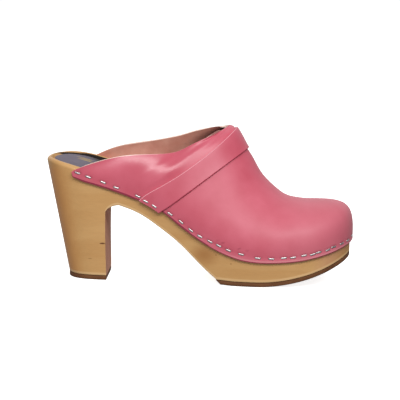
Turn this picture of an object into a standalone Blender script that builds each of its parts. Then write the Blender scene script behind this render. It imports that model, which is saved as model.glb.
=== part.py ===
"""A high-heeled wooden clog for a right foot, in metres with +Z up.

The toe points along +X, the outer side of the foot is -Y and the floor is Z = 0.
Tables are in per cent of the driving sizes: x of LENGTH, y of BALL_WIDTH, heights
of the wood of HEEL_HEIGHT and heights of the leather of INSTEP_HEIGHT.
"""

import math

import bmesh
import bpy
import numpy as np

MM = 0.001

# Driving sizes, mm
LENGTH = 242.0
BALL_WIDTH = 90.0
HEEL_HEIGHT = 95.0
INSTEP_HEIGHT = 123.0
LEATHER = 1.8
STRAP_LEATHER = 1.5
TREAD = 3.2
TREAD_SHARE = 0.99
SOCK = 1.2
GAP = 0.3
UPPER_GAP = 0.45

# The model's origin lies under the middle of its outer box
ORIGIN_X = 122.39
ORIGIN_Y = -0.49

# Wood: rim rounding, footbed hollow and the milled heel seat, mm
RIM_ROUND = 3.5
RIM_WIDTH = 3.9
HOLLOW_BLEND = 2.2
HOLLOW_BACK = 2.6
HOLLOW_DEPTH = 5.0
HOLLOW_FULL_X = 70.0
SIDE_TAPER = 0.0024

# Heel sock: where it ends and how far it lies inside the wood's edge, mm
SOCK_FRONT_X = 84.0
SOCK_INSET = 7.6
SOCK_LIFT = 0.6

# Wood: block heel seen from the side, mm
BASE_BACK = 18.7
BASE_FRONT = 49.6
BREAST_TOP_X = 48.2
BREAST_TOP_Z = 52.0
WAIST_START_X = 60.0
WAIST_START_Z = 60.2
SEAT_FRONT_X = 45.5
WAIST_EDGE_X = 56.5

# Wood: forefoot seen from the side, mm
FOREFOOT_X = 136.5
FLAT_START_X = 152.0
FLAT_END_X = 166.0
REAR_LIFT = 0.8
TOE_SPRING = 21.0
SPRING_POWER = 1.95

# Upper edge of the wood, from the back of the heel to the toe
SOLE_COLUMNS = ("x", "lateral_y", "medial_y", "lateral_z", "medial_z")
SOLE = np.array((
    (-0.35, 0.0, 0.0, 100.6, 100.6),
    (0.7, 13.3, 13.3, 100.1, 101.4),
    (3.5, 24.4, 24.3, 98.7, 101.9),
    (8.2, 31.4, 31.0, 96.0, 101.8),
    (14.5, 34.4, 33.8, 91.6, 99.3),
    (21.5, 34.7, 33.1, 86.6, 94.2),
    (29.8, 34.4, 31.4, 79.8, 86.8),
    (38.0, 35.9, 31.1, 69.8, 76.3),
    (46.3, 39.4, 32.8, 56.3, 62.1),
    (54.5, 43.9, 37.2, 43.2, 47.4),
    (62.8, 47.8, 43.3, 34.7, 36.8),
    (71.1, 50.2, 47.8, 31.8, 32.6),
    (78.5, 50.3, 49.4, 32.2, 32.4),
    (85.1, 47.8, 48.3, 34.3, 34.3),
    (90.9, 41.7, 43.9, 37.5, 37.5),
    (95.5, 31.7, 35.6, 40.8, 40.8),
    (98.8, 17.8, 23.3, 43.7, 43.7),
    (100.3, -2.8, 2.8, 45.3, 45.3),
))
TOE = len(SOLE) - 1

# Underside of the waist
WAIST_COLUMNS = ("x", "z")
WAIST = np.array((
    (24.8, 63.2),
    (31.4, 56.5),
    (38.0, 45.4),
    (44.6, 32.4),
    (51.2, 16.2),
    (56.4, 4.9),
))

# Ribs of the upper from its heel tip to the toe: where each starts and leaves the
# wood (x, and mm below the edge), where it ends (collar, then crest) and its shape
RIB_COLUMNS = ("foot_x", "edge_x", "lower", "leave", "top_x", "lateral_y", "lateral_z",
               "medial_y", "medial_z", "lean", "rise", "spread")
RIBS = np.array((
    (9.4, 9.4, 8.0, 5.0, 9.5, 35.2, 70.6, 34.7, 74.6, 0, 0.33, 0.33),
    (11.2, 12.0, 8.5, 4.0, 12.8, 36.0, 73.5, 35.6, 76.8, 2, 0.33, 0.33),
    (13.4, 15.0, 9.1, 3.0, 17.6, 35.3, 76.8, 34.6, 79.9, 5, 0.33, 0.33),
    (16.3, 18.3, 9.0, 3.0, 24.0, 33.8, 80.1, 32.6, 83.4, 11, 0.33, 0.33),
    (19.4, 22.0, 9.1, 3.0, 32.2, 33.2, 82.1, 31.2, 86.5, 13, 0.33, 0.33),
    (22.5, 25.4, 9.3, 3.0, 41.3, 29.8, 83.5, 26.8, 90.4, 17, 0.33, 0.33),
    (25.4, 28.1, 9.6, 3.0, 50.0, 24.4, 90.4, 20.3, 95.4, 26, 0.33, 0.30),
    (27.5, 30.2, 9.8, 3.0, 56.2, 15.6, 95.9, 12.8, 98.0, 42, 0.33, 0.28),
    (29.0, 31.4, 10.0, 3.0, 59.7, -0.6, 99.8, 0.6, 99.8, 90, 0.33, 0.29),
    (31.2, 33.6, 9.5, 3.0, 61.7, -0.6, 97.8, 0.6, 97.8, 90, 0.33, 0.29),
    (38.6, 40.3, 8.5, 3.0, 65.0, -0.6, 87.2, 0.6, 87.2, 90, 0.33, 0.29),
    (43.8, 45.7, 10.0, 3.0, 67.6, -0.6, 79.3, 0.6, 79.3, 90, 0.33, 0.31),
    (50.0, 51.7, 10.5, 3.0, 70.0, -0.6, 71.0, 0.6, 71.0, 90, 0.34, 0.34),
    (57.0, 58.8, 10.3, 3.0, 72.9, -0.6, 64.2, 0.6, 64.2, 90, 0.36, 0.38),
    (64.5, 66.2, 10.6, 3.0, 76.4, -0.6, 58.2, 0.6, 58.2, 90, 0.38, 0.41),
    (71.1, 72.6, 10.4, 3.0, 80.6, -0.6, 54.0, 0.6, 54.0, 90, 0.40, 0.44),
    (77.3, 78.6, 10.0, 3.0, 85.5, -0.6, 52.6, 0.6, 52.6, 90, 0.42, 0.47),
))
THROAT = 8
STRAP_REAR = 9
STRAP_FRONT = 10
FAN = len(RIBS) - 1
FAN_RIBS = 7
TOE_LOWER = 8.7
TOE_RISE = 0.52
TOE_SPREAD = 0.63
EDGE_SHARE = 0.15
MEDIAL_TIP_DROP = 4.5
MEDIAL_TIP_RIBS = 3.2
BAND_NEAR_END = 0.9
STRAP_DROP = 0.065
STRAP_REAR_BOW = 0.85
STRAP_FRONT_GAIN = 0.27
STRAP_FRONT_POWER = 1.6
STRAP_DROP_POWER = 8

# How finely curves are read, and the step for slopes
OUTLINE_POINTS = 600
STATION_POINTS = 2000
CURVE_POINTS = 60
STEP = 0.01
TINY = 1e-6

# Mesh fineness: loops along the shoe and points round each loop
SEAT_LOOPS = 19
BREAST_LOOPS = 15
WAIST_LOOPS = 15
FRONT_LOOPS = 22
SIDE_STEPS = 4
RIM_TURNS = np.radians((0, 30, 60, 90))
FOOTBED_INSETS = (0.5, 1.6, 2.8, 9.0)
FOOTBED_NARROW = 28.0
RIB_STEPS = 2
BAND_STEPS = 3
RISE_STEPS = 11
STRAP_RIBS = 5
SOCK_LOOPS = 15
SOCK_STEPS = 9

LATERAL = -1
MEDIAL = 1

# Surface finish: colour, roughness, metallic
FINISH = {
    "wood_sole": ((0.52, 0.30, 0.12), 0.45, 0.0),
    "heel_tread": ((0.19, 0.08, 0.04), 0.8, 0.0),
    "forefoot_tread": ((0.19, 0.08, 0.04), 0.8, 0.0),
    "upper": ((0.68, 0.16, 0.22), 0.35, 0.0),
    "instep_strap": ((0.68, 0.16, 0.22), 0.35, 0.0),
    "heel_sock": ((0.22, 0.19, 0.26), 0.7, 0.0),
}


def column(table, columns, name, size):
    """One named column of a per-cent table, in mm of the size given."""
    return table[:, columns.index(name)] * size / 100


def spline(values, closed=False, hold_start=False, hold_end=False):
    """A smooth curve through the rows, one unit apart; a held end has no slope."""
    values = np.asarray(values, float)
    count = len(values)
    after = np.roll(values, -1, axis=0)
    before = np.roll(values, 1, axis=0)
    system = 4 * np.eye(count)
    system += np.roll(np.eye(count), 1, axis=1) + np.roll(np.eye(count), -1, axis=1)
    pull = 6 * (after - 2 * values + before)
    if not closed:
        ends = ((0, 1, hold_start), (count - 1, count - 2, hold_end))
        for end, beside, held in ends:
            system[end] = 0
            system[end, end] = 2 if held else 1
            system[end, beside] = 1 if held else 0
            pull[end] = 6 * (values[beside] - values[end]) if held else 0
    bend = np.linalg.solve(system, pull)

    def at(place):
        place = np.asarray(place, float)
        start = np.floor(place).astype(int)
        if not closed:
            start = np.clip(start, 0, count - 2)
        share = (place - start).reshape(place.shape + (1,) * (values.ndim - 1))
        left = start % count
        right = (start + 1) % count
        rest = 1 - share
        line = rest * values[left] + share * values[right]
        curve = (rest**3 - rest) * bend[left] + (share**3 - share) * bend[right]
        return line + curve / 6

    return at


def ease(share):
    """0 to 1 with no slope at either end."""
    share = np.clip(share, 0, 1)
    return share * share * (3 - 2 * share)


def unit(vectors):
    return vectors / np.linalg.norm(vectors, axis=-1, keepdims=True)


def sole_edge_curve():
    """The wood's upper edge as one closed curve: lateral side out, medial side back."""
    x = column(SOLE, SOLE_COLUMNS, "x", LENGTH)
    sides = []
    for name, side in (("lateral", LATERAL), ("medial", MEDIAL)):
        y = side * column(SOLE, SOLE_COLUMNS, name + "_y", BALL_WIDTH)
        z = column(SOLE, SOLE_COLUMNS, name + "_z", HEEL_HEIGHT)
        sides.append(np.stack((x, y, z), axis=1))
    return spline(np.concatenate((sides[0], sides[1][-2:0:-1])), closed=True)


EDGE_CURVE = sole_edge_curve()
OUTLINE = EDGE_CURVE(np.linspace(0, 2 * TOE, OUTLINE_POINTS))


def edge(station, side):
    """Points of the wood's upper edge at stations counted as the rows of SOLE."""
    station = np.asarray(station, float)
    return EDGE_CURVE(station if side == LATERAL else 2 * TOE - station)


def station_at(x):
    """The station whose edge lies x mm from the back of the heel."""
    stations = np.linspace(0, TOE, STATION_POINTS)
    return np.interp(x, edge(stations, LATERAL)[:, 0], stations)


SEAT_END = station_at(SEAT_FRONT_X)
BREAST_END = station_at(WAIST_EDGE_X)
WAIST_END = station_at(FOREFOOT_X)


def rocker(x):
    """Height of the forefoot tread's walking face: a flat spot, then the toe spring."""
    rear = REAR_LIFT * ease((FLAT_START_X - x) / (FLAT_START_X - FOREFOOT_X))
    toe = np.clip((x - FLAT_END_X) / (LENGTH - FLAT_END_X), 0, None)
    return rear + TOE_SPRING * toe**SPRING_POWER


def underside_rows():
    """Stations with the x and z of the wood's lower edge, from heel to toe."""
    heel = np.linspace(0, SEAT_END, CURVE_POINTS)
    across = edge(heel, LATERAL)[:, 0] / edge(SEAT_END, LATERAL)[0]
    heel_x = BASE_BACK + across * (BASE_FRONT - BASE_BACK)
    stretches = [(heel, heel_x, np.full(len(heel), TREAD + GAP))]

    fillet_start = 0.5 * (SEAT_END + BREAST_END)
    turn = np.linspace(0, math.pi / 2, CURVE_POINTS)
    fillet = np.linspace(fillet_start, BREAST_END, len(turn))
    fillet_x = WAIST_START_X - (WAIST_START_X - BREAST_TOP_X) * np.cos(turn)
    fillet_z = BREAST_TOP_Z + (WAIST_START_Z - BREAST_TOP_Z) * np.sin(turn)
    stretches.append((fillet, fillet_x, fillet_z))

    share = np.linspace(0, 1, CURVE_POINTS)
    places = (len(WAIST) - 1) * share
    waist_x = spline(column(WAIST, WAIST_COLUMNS, "x", LENGTH))(places)
    waist_z = spline(column(WAIST, WAIST_COLUMNS, "z", HEEL_HEIGHT))(places)
    stretches.append((BREAST_END + share * (WAIST_END - BREAST_END), waist_x, waist_z))

    front = np.linspace(WAIST_END, TOE, CURVE_POINTS)
    front_x = edge(front, LATERAL)[:, 0]
    stretches.append((front, front_x, rocker(front_x) + TREAD + GAP))
    return [np.concatenate(part) for part in zip(*stretches)]


UNDERSIDE = underside_rows()


def lower_edge(station, side):
    """Points of the wood's lower edge, drawn in as the side grows taller."""
    top = edge(station, side)
    x = np.interp(station, UNDERSIDE[0], UNDERSIDE[1])
    z = np.interp(station, UNDERSIDE[0], UNDERSIDE[2])
    y = top[..., 1] * (1 - SIDE_TAPER * (top[..., 2] - z))
    return np.stack((x, y, z), axis=-1)


def wall(station, side, depth):
    """Points on the wood's side, depth mm straight below its upper edge."""
    point = edge(station, side)
    point[..., 1] *= 1 - SIDE_TAPER * depth
    point[..., 2] -= depth
    return point


def wall_normal(station, side, depth):
    along = wall(station + STEP, side, depth) - wall(station - STEP, side, depth)
    down = wall(station, side, depth + 1) - wall(station, side, depth)
    return unit(np.cross(down, along)) * -side


def footbed(x, y):
    """Height of the wood's top: straight across from edge to edge, less the milled hollow."""
    station = station_at(x)
    lateral = edge(station, LATERAL)
    medial = edge(station, MEDIAL)
    width = np.maximum(medial[..., 1] - lateral[..., 1], 1.0)
    share = np.clip((y - lateral[..., 1]) / width, 0, 1)
    level = lateral[..., 2] + share * (medial[..., 2] - lateral[..., 2])
    apart = np.hypot(x[..., None] - OUTLINE[:, 0], y[..., None] - OUTLINE[:, 1])
    inside = apart.min(axis=-1)
    depth = HOLLOW_BACK + (HOLLOW_DEPTH - HOLLOW_BACK) * ease(x / HOLLOW_FULL_X)
    return level - depth * ease((inside - RIM_WIDTH) / HOLLOW_BLEND)


def inset(station, side, distance):
    """Points moved into the plan from the wood's upper edge, at the edge's height."""
    along = unit((edge(station + STEP, side) - edge(station - STEP, side)) * (1, 1, 0))
    inward = np.stack((along[..., 1], -along[..., 0], 0 * along[..., 0]), axis=-1) * side
    return edge(station, side) + inward * distance


def sheet_mesh(grids):
    """A mesh of quads over grids of points in mm, joined where they touch."""
    mesh = bmesh.new()
    for grid, turned in grids:
        rows, steps = grid.shape[:2]
        places = (grid - (ORIGIN_X, ORIGIN_Y, 0)) * MM
        verts = [[mesh.verts.new(point) for point in row] for row in places]
        for i in range(rows - 1):
            for j in range(steps - 1):
                corners = [verts[i][j], verts[i + 1][j], verts[i + 1][j + 1], verts[i][j + 1]]
                mesh.faces.new(corners[::-1] if turned else corners)
    bmesh.ops.remove_doubles(mesh, verts=mesh.verts, dist=TINY)
    bmesh.ops.dissolve_degenerate(mesh, edges=mesh.edges, dist=TINY / 10)
    return mesh


def add_object(name, mesh, smooth_angle=40):
    colour, roughness, metallic = FINISH[name]
    data = bpy.data.meshes.new(name)
    mesh.to_mesh(data)
    mesh.free()
    material = bpy.data.materials.new(name)
    material.use_nodes = True
    shader = material.node_tree.nodes["Principled BSDF"]
    shader.inputs["Base Color"].default_value = (*colour, 1)
    shader.inputs["Roughness"].default_value = roughness
    shader.inputs["Metallic"].default_value = metallic
    data.materials.append(material)
    data.shade_smooth()
    data.set_sharp_from_angle(angle=math.radians(smooth_angle))
    thing = bpy.data.objects.new(name, data)
    bpy.context.scene.collection.objects.link(thing)
    return thing


def thicken(thing, thickness, offset):
    wall_of = thing.modifiers.new("wall", "SOLIDIFY")
    wall_of.thickness = thickness * MM
    wall_of.offset = offset
    wall_of.use_even_offset = True
    wall_of.use_quality_normals = True


def sole_loops(stations):
    """Closed loops round the wood, one a station: underside, sides, rim and footbed."""
    shares = np.linspace(0, 1, SIDE_STEPS, endpoint=False)
    halves = {}
    for side in (LATERAL, MEDIAL):
        low = lower_edge(stations, side)
        corner = edge(stations, side)
        start = corner + RIM_ROUND * unit(low - corner)
        points = [low + share * (start - low) for share in shares]
        across = inset(stations, side, RIM_ROUND) - corner
        for turn in RIM_TURNS:
            points.append(start + across * (1 - math.cos(turn)) + (corner - start) * math.sin(turn))
        halves[side] = points
    left = halves[LATERAL][-1]
    right = halves[MEDIAL][-1]
    width = np.linalg.norm(right - left, axis=1, keepdims=True)
    near = [inside / np.maximum(width, FOOTBED_NARROW) for inside in FOOTBED_INSETS]
    seat = []
    for share in near + [0.5] + [1 - share for share in near[::-1]]:
        across = left + share * (right - left)
        across[:, 2] = footbed(across[:, 0], across[:, 1])
        seat.append(across)
    middle = 0.5 * (halves[LATERAL][0] + halves[MEDIAL][0])
    loop = [middle] + halves[LATERAL] + seat + halves[MEDIAL][::-1] + [middle]
    return np.stack(loop, axis=1)


def build_sole():
    seat = np.linspace(0, SEAT_END, SEAT_LOOPS)
    breast = np.linspace(SEAT_END, BREAST_END, BREAST_LOOPS)[1:]
    waist = np.linspace(BREAST_END, WAIST_END, WAIST_LOOPS)[1:]
    front = np.linspace(WAIST_END, TOE, FRONT_LOOPS)[1:]
    stations = np.concatenate((seat, breast, waist, front))
    return add_object("wood_sole", sheet_mesh([(sole_loops(stations), False)]))


def tread_loops(stations, bottom):
    """Closed loops round a tread lying under the wood, a little narrower than it."""
    lateral = lower_edge(stations, LATERAL)
    medial = lower_edge(stations, MEDIAL)
    middle = 0.5 * (lateral + medial)
    corners = []
    for wood, height in ((lateral, 0), (lateral, TREAD), (medial, TREAD), (medial, 0), (lateral, 0)):
        points = middle + TREAD_SHARE * (wood - middle)
        points[:, 2] = bottom(points[:, 0]) + height
        corners.append(points)
    return np.stack(corners, axis=1)


def flat_end(loop, turned):
    """The rectangle that closes a tread where it is cut straight across."""
    low_lateral, high_lateral, high_medial, low_medial = loop[:4]
    return np.array(((low_lateral, high_lateral), (low_medial, high_medial))), turned


def build_treads():
    heel = tread_loops(np.linspace(0, SEAT_END, SEAT_LOOPS), np.zeros_like)
    add_object("heel_tread", sheet_mesh([(heel, False), flat_end(heel[-1], False)]))
    forefoot = tread_loops(np.linspace(WAIST_END, TOE, FRONT_LOOPS), rocker)
    add_object("forefoot_tread", sheet_mesh([(forefoot, False), flat_end(forefoot[0], True)]))


def rib_curves():
    """Smooth curves through the columns of RIBS, by rib number."""
    rows = {}
    for name in ("foot_x", "edge_x"):
        stations = station_at(column(RIBS, RIB_COLUMNS, name, LENGTH))
        rows[name] = spline(stations)
    for name in ("lower", "leave", "lean", "rise", "spread"):
        rows[name] = spline(RIBS[:, RIB_COLUMNS.index(name)], hold_end=True)
    x = column(RIBS, RIB_COLUMNS, "top_x", LENGTH)
    for name, side in (("lateral", LATERAL), ("medial", MEDIAL)):
        y = side * column(RIBS, RIB_COLUMNS, name + "_y", BALL_WIDTH)
        z = column(RIBS, RIB_COLUMNS, name + "_z", INSTEP_HEIGHT)
        top = np.stack((x, y, z), axis=1)
        collar = spline(top[:THROAT + 1], hold_end=True)
        crest = spline(top[THROAT:], hold_start=True, hold_end=True)
        rows[side] = (collar, crest)
    return rows


RIB_CURVES = rib_curves()


def upper_point(u, v, side):
    """Points on the outside of the upper: rib number u, v from 0 at the wood to 1."""
    u = np.asarray(u, float)
    v = np.asarray(v, float)
    row = np.minimum(u, FAN)
    fan = np.clip((u - FAN) / FAN_RIBS, 0, 1)
    blend = ease(fan)
    foot = RIB_CURVES["foot_x"](row)
    leave_at = RIB_CURVES["edge_x"](row)
    foot = foot + fan * (TOE - foot)
    leave_at = leave_at + fan * (TOE - leave_at)
    lower = RIB_CURVES["lower"](row)
    drop = MEDIAL_TIP_DROP * ease(1 - row / MEDIAL_TIP_RIBS) * (side == MEDIAL)
    lower = lower + blend * (TOE_LOWER - lower) + drop
    leave = RIB_CURVES["leave"](row) + drop
    rise = RIB_CURVES["rise"](row)
    rise = rise + blend * (TOE_RISE - rise)
    spread = RIB_CURVES["spread"](row)
    spread = spread + blend * (TOE_SPREAD - spread)
    lean = np.radians(np.clip(RIB_CURVES["lean"](row), 0, 90))
    sweep = fan * math.pi / 2
    collar, crest = RIB_CURVES[side]
    behind = (row <= THROAT)[..., None]
    top = np.where(behind, collar(np.minimum(row, THROAT)), crest(np.maximum(row, THROAT) - THROAT))
    top[..., 2] -= drop

    def band(share):
        station = foot + (leave_at - foot) * share
        depth = lower + (leave - lower) * share
        out = wall_normal(station, side, depth) * (UPPER_GAP + LEATHER)
        return wall(station, side, depth) + out

    share = v / EDGE_SHARE
    start = band(np.ones_like(share))
    away = unit(start - band(np.full_like(share, BAND_NEAR_END)))
    chord = np.linalg.norm(top - start, axis=-1)
    slant = unit((top - start) * (1, 0, 1) + (0, 0, TINY))
    inward = np.stack((-np.sin(sweep), -side * np.cos(sweep), 0 * sweep), axis=-1)
    arrive = np.cos(lean)[..., None] * slant + np.sin(lean)[..., None] * inward
    first = start + away * (rise * chord)[..., None]
    second = top - arrive * (spread * chord)[..., None]
    t = np.clip((v - EDGE_SHARE) / (1 - EDGE_SHARE), 0, 1)[..., None]
    s = 1 - t
    curve = s**3 * start + 3 * s * s * t * first + 3 * s * t * t * second + t**3 * top
    return np.where((v <= EDGE_SHARE)[..., None], band(np.minimum(share, 1)), curve)


def upper_normal(u, v, side):
    v_high = np.minimum(v + STEP, 1)
    along = upper_point(u + STEP, v, side) - upper_point(np.maximum(u - STEP, 0), v, side)
    rise = upper_point(u, v_high, side) - upper_point(u, v_high - STEP, side)
    return unit(np.cross(along, rise)) * -side


def band_then_rise():
    """Places up a rib: a few on the wood's side, the rest above it."""
    low = np.linspace(0, EDGE_SHARE, BAND_STEPS, endpoint=False)
    high = np.linspace(EDGE_SHARE, 1, RISE_STEPS + 1)
    return np.concatenate((low, high))


def build_upper():
    last = FAN + FAN_RIBS
    u, v = np.meshgrid(np.linspace(0, last, RIB_STEPS * last + 1), band_then_rise(), indexing="ij")
    grids = [(upper_point(u, v, side), side == MEDIAL) for side in (LATERAL, MEDIAL)]
    upper = add_object("upper", sheet_mesh(grids))
    thicken(upper, LEATHER, -1)


def build_strap():
    """The instep strap: a band between two ribs, lying on the upper's own outside.

    Its rear edge bows back from its rib and its front edge gains on its rib towards the crest.
    """
    grids = []
    across, up = np.meshgrid(np.linspace(0, 1, STRAP_RIBS), band_then_rise(), indexing="ij")
    rear = STRAP_REAR - STRAP_REAR_BOW * up * (1 - up) ** 2
    front = STRAP_FRONT + STRAP_FRONT_GAIN * up**STRAP_FRONT_POWER
    u = rear + across * (front - rear)
    v = up - STRAP_DROP * across * (1 - up) ** STRAP_DROP_POWER
    for side in (LATERAL, MEDIAL):
        out = upper_normal(u, v, side)
        out[:, -1, 1] = 0
        points = upper_point(u, v, side) + unit(out) * GAP
        grids.append((points, side == MEDIAL))
    strap = add_object("instep_strap", sheet_mesh(grids))
    thicken(strap, STRAP_LEATHER, 1)


def build_sock():
    """The heel sock: a pad on the milled heel seat, inside the rim."""
    stations = np.linspace(0, station_at(SOCK_FRONT_X), SOCK_LOOPS)
    left = inset(stations, LATERAL, SOCK_INSET)
    right = inset(stations, MEDIAL, SOCK_INSET)
    rows = []
    for share in np.linspace(0, 1, SOCK_STEPS):
        across = left + share * (right - left)
        across[:, 2] = footbed(across[:, 0], across[:, 1]) + SOCK_LIFT
        rows.append(across)
    sock = add_object("heel_sock", sheet_mesh([(np.stack(rows, axis=1), False)]))
    thicken(sock, SOCK, 1)


def main():
    for thing in list(bpy.data.objects):
        bpy.data.objects.remove(thing)
    build_sole()
    build_treads()
    build_upper()
    build_strap()
    build_sock()


main()
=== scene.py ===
import math

import bmesh
import bpy
import numpy as np
from mathutils import Matrix, Vector


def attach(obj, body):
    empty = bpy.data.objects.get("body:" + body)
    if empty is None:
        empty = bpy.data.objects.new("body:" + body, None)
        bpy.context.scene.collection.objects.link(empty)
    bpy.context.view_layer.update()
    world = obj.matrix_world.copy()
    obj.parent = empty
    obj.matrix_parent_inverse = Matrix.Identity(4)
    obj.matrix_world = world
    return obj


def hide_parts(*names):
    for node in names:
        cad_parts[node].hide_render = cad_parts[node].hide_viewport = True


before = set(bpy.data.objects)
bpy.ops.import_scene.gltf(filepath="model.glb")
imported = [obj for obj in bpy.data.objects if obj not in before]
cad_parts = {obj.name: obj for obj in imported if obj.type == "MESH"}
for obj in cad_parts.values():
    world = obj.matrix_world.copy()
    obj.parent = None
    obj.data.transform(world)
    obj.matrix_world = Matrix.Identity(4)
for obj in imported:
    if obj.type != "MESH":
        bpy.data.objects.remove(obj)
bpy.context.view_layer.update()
print("frame:", ", ".join(sorted(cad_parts)))

mm = 0.001
lateral = -1  # outer side of the right foot, -Y
medial = 1
slopeStep = 0.01

# The last, in mm: x runs from the back of the heel to the toe, tables are per cent of these
last = {
    "length": 242.0,
    "ballWidth": 90.0,
    "heelHeight": 95.0,
    "instepHeight": 123.0,
    "originX": 122.39,  # the frame's origin lies under the middle of the shoe
    "originY": -0.49,
}


def column(table, name, size=100.0):
    return table["rows"][:, table["columns"].index(name)] * size / 100


def ease(share):
    share = np.clip(share, 0, 1)
    return share * share * (3 - 2 * share)


def unit(vectors):
    size = np.linalg.norm(vectors, axis=-1, keepdims=True)
    return np.where(size > 1e-9, vectors / np.maximum(size, 1e-9), (0.0, 0.0, 1.0))


def spline(values, closed=False, holdStart=False, holdEnd=False):
    # smooth curve through rows one unit apart; a held end has no slope
    values = np.asarray(values, float)
    count = len(values)
    system = 4 * np.eye(count) + np.roll(np.eye(count), 1, axis=1) + np.roll(np.eye(count), -1, axis=1)
    pull = 6 * (np.roll(values, -1, axis=0) - 2 * values + np.roll(values, 1, axis=0))
    if not closed:
        for end, beside, held in ((0, 1, holdStart), (count - 1, count - 2, holdEnd)):
            system[end] = 0
            system[end, end] = 2 if held else 1
            system[end, beside] = 1 if held else 0
            pull[end] = 6 * (values[beside] - values[end]) if held else 0
    bend = np.linalg.solve(system, pull)

    def at(place):
        place = np.asarray(place, float)
        start = np.floor(place).astype(int)
        if not closed:
            start = np.clip(start, 0, count - 2)
        share = (place - start).reshape(place.shape + (1,) * (values.ndim - 1))
        left = start % count
        right = (start + 1) % count
        rest = 1 - share
        line = rest * values[left] + share * values[right]
        return line + ((rest**3 - rest) * bend[left] + (share**3 - share) * bend[right]) / 6

    return at


def fill(tree, node, sockets):
    # gives a node's sockets their values, or links them from other sockets
    for key, value in sockets.items():
        if isinstance(value, bpy.types.NodeSocket):
            tree.links.new(value, node.inputs[key])
        else:
            node.inputs[key].default_value = value


def addNode(tree, kind, settings=None):
    # settings hold a node's own options, a ramp's stops, and what its sockets get
    node = tree.nodes.new(kind)
    sockets = {}
    for key, value in (settings or {}).items():
        if key == "stops":
            ramp = node.color_ramp
            while len(ramp.elements) < len(value):
                ramp.elements.new(1.0)
            for element, (position, colour) in zip(ramp.elements, value):
                element.position = position
                element.color = colour
        elif isinstance(key, str) and hasattr(node, key) and key not in node.inputs:
            setattr(node, key, value)
        else:
            sockets[key] = value
    fill(tree, node, sockets)
    return node


def linear(hexColour):
    # sRGB hex to linear RGBA
    parts = [int(hexColour[i:i + 2], 16) / 255 for i in (1, 3, 5)]
    return [part / 12.92 if part <= 0.04045 else ((part + 0.055) / 1.055) ** 2.4 for part in parts] + [1.0]


def perMetre(size):
    # texture scale whose features are about this many mm
    return 1 / (size * mm)


def newMaterial(name):
    material = bpy.data.materials.new(name)
    material.use_nodes = True
    tree = material.node_tree
    tree.nodes.clear()
    shader = addNode(tree, "ShaderNodeBsdfPrincipled")
    addNode(tree, "ShaderNodeOutputMaterial", {"Surface": shader.outputs["BSDF"]})
    place = addNode(tree, "ShaderNodeTexCoord").outputs["Object"]
    return material, tree, shader, place


def clouded(tree, place, size, detail, low, high, distortion=0.0):
    # noise with features of size mm, and two colours that follow it from their places on a ramp
    noise = addNode(tree, "ShaderNodeTexNoise", {
        "Vector": place, "Scale": perMetre(size), "Detail": detail, "Distortion": distortion}).outputs["Fac"]
    ramp = addNode(tree, "ShaderNodeValToRGB", {
        "Fac": noise, "stops": [(at, linear(colour)) for at, colour in (low, high)]})
    return noise, ramp.outputs["Color"]


def stain(tree, body, value, start, full, colour, most=1.0, shape="LINEAR"):
    # lays a colour over the body as a value goes from start to full
    share = addNode(tree, "ShaderNodeMapRange", {
        "interpolation_type": shape, "Value": value, "From Min": start, "From Max": full,
        "To Min": 0.0, "To Max": most})
    return addNode(tree, "ShaderNodeMix", {
        "data_type": "RGBA", 0: share.outputs["Result"], 6: body, 7: linear(colour)}).outputs[2]


def spotReach(tree, place, centre, radii):
    # distance from a spot's centre as a share of its radii, in the last's mm
    middle = np.array(centre) - (last["originX"], last["originY"], 0)
    apart = addNode(tree, "ShaderNodeVectorMath", {"operation": "SUBTRACT", 0: place, 1: tuple(middle * mm)})
    share = addNode(tree, "ShaderNodeVectorMath", {
        "operation": "DIVIDE", 0: apart.outputs["Vector"], 1: tuple(np.array(radii) * mm)})
    return addNode(tree, "ShaderNodeVectorMath", {
        "operation": "LENGTH", 0: share.outputs["Vector"]}).outputs["Value"]


def sheetObject(name, grids, materials, smoothAngle=45, capEnds=False, **values):
    # quads over grids of points in mm, joined where they touch, with named values per point
    verts = []
    faces = []
    for grid, turned in grids:
        rows, steps = grid.shape[:2]
        index = len(verts) + np.arange(rows * steps).reshape(rows, steps)
        quads = np.stack((index[:-1, :-1], index[1:, :-1], index[1:, 1:], index[:-1, 1:]), axis=-1)
        quads = quads.reshape(-1, 4)
        faces.extend((quads[:, ::-1] if turned else quads).tolist())
        verts.extend(((grid - (last["originX"], last["originY"], 0)) * mm).reshape(-1, 3).tolist())
    mesh = bpy.data.meshes.new(name)
    mesh.from_pydata(verts, [], faces)
    for key, shares in values.items():
        layer = mesh.attributes.new(key, "FLOAT", "POINT")
        layer.data.foreach_set("value", np.concatenate([share.ravel() for share in shares]))
    work = bmesh.new()
    work.from_mesh(mesh)
    bmesh.ops.remove_doubles(work, verts=work.verts, dist=2e-6)
    bmesh.ops.dissolve_degenerate(work, edges=work.edges, dist=1e-7)
    if capEnds:
        bmesh.ops.holes_fill(work, edges=[e for e in work.edges if e.is_boundary])
        bmesh.ops.recalc_face_normals(work, faces=work.faces)
    work.to_mesh(mesh)
    work.free()
    for material in materials:
        mesh.materials.append(material)
    mesh.shade_smooth()
    mesh.set_sharp_from_angle(angle=math.radians(smoothAngle))
    thing = bpy.data.objects.new(name, mesh)
    bpy.context.scene.collection.objects.link(thing)
    return thing


def leatherWall(thing, thickness, offset, cutRound):
    # real thickness, with the flesh side and the cut edge in their own materials
    wallOf = thing.modifiers.new("thickness", "SOLIDIFY")
    wallOf.thickness = thickness * mm
    wallOf.offset = offset
    wallOf.use_quality_normals = True
    wallOf.material_offset = 1
    wallOf.material_offset_rim = 2
    cut = thing.modifiers.new("cut edge", "BEVEL")
    cut.width = cutRound * mm
    cut.segments = 2
    cut.limit_method = "ANGLE"
    cut.angle_limit = math.radians(60)
    cut.material = 2
    thing.modifiers.new("normals", "WEIGHTED_NORMAL")


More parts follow.
